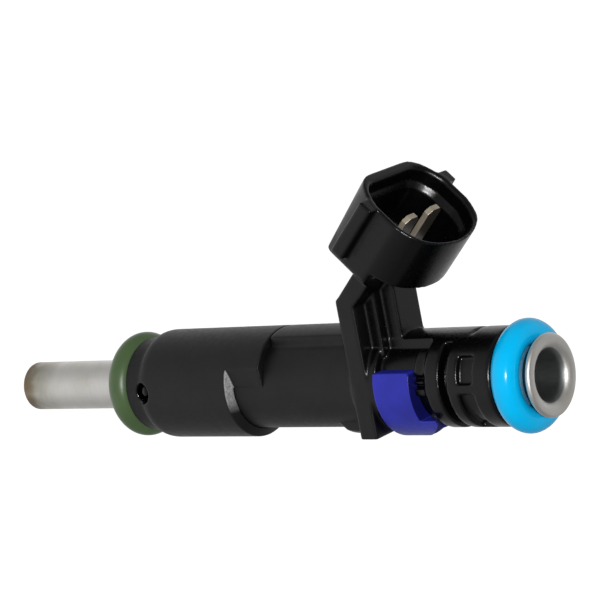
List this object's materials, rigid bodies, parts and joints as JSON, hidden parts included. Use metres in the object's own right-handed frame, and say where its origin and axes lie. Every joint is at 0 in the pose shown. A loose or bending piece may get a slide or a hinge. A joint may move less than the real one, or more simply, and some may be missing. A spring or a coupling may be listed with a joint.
{
  "type": "fuel injector",
  "caption": "Port fuel injector with a slim extended spray tube, round seals at both ends, a tilted oval connector on a ribbed tower and a clip round the upper body.",
  "frame": {"origin": "on the injector axis, at the middle of the lower (manifold) seal", "axes": "+X along the injector axis toward the fuel inlet, so the spray tube points to -X; +Z toward the connector, which leans from +Z toward +X; the XZ plane is the plane of symmetry"},
  "size_m": [0.09, 0.019, 0.0354],
  "materials": {
    "stainless": "satin drawn stainless steel",
    "valve_steel": "ground hardened steel",
    "ball_steel": "polished bearing steel",
    "green_rubber": "satin fluoro rubber",
    "blue_rubber": "smooth slightly glossy rubber",
    "black_plastic": "satin glass-filled nylon",
    "ring_plastic": "satin nylon",
    "yoke_steel": "plated deep-drawn steel",
    "bobbin_plastic": "natural filled nylon",
    "copper_wire": "enamelled copper wire",
    "sleeve_steel": "non-magnetic stainless steel",
    "brass": "satin brass",
    "filter_plastic": "natural nylon",
    "filter_weave": "fine woven nylon",
    "violet_plastic": "satin dyed nylon",
    "spring_steel": "hard-drawn spring wire"
  },
  "bodies": {
    "housing": {"nozzle_tube": "stainless", "orifice_plate": "stainless", "valve_seat": "valve_steel", "ball_guide": "valve_steel", "lower_oring": "green_rubber", "lower_backup_ring": "ring_plastic", "lower_housing": "black_plastic", "coil_housing": "yoke_steel", "flux_washer": "yoke_steel", "coil_bobbin": "bobbin_plastic", "coil_winding": "copper_wire", "nonmagnetic_sleeve": "sleeve_steel", "inlet_tube": "stainless", "adjusting_tube": "brass", "filter_frame": "filter_plastic", "filter_mesh": "filter_weave", "filter_collar": "brass", "overmold_body": "black_plastic", "terminal_left": "brass", "terminal_right": "brass", "index_clip": "violet_plastic", "upper_oring": "blue_rubber", "upper_backup_ring": "ring_plastic", "return_spring": "spring_steel"},
    "needle": {"valve_ball": "ball_steel", "needle_tube": "valve_steel", "armature": "valve_steel"}
  },
  "joints": [
    {"name": "needle_lift", "type": "slide", "parent": "housing", "child": "needle", "axis": [1, 0, 0], "range_m": [0, 0.0001], "stiffness_N_per_m": 2000, "springref_m": -0.0015, "deforming": ["return_spring"]}
  ]
}
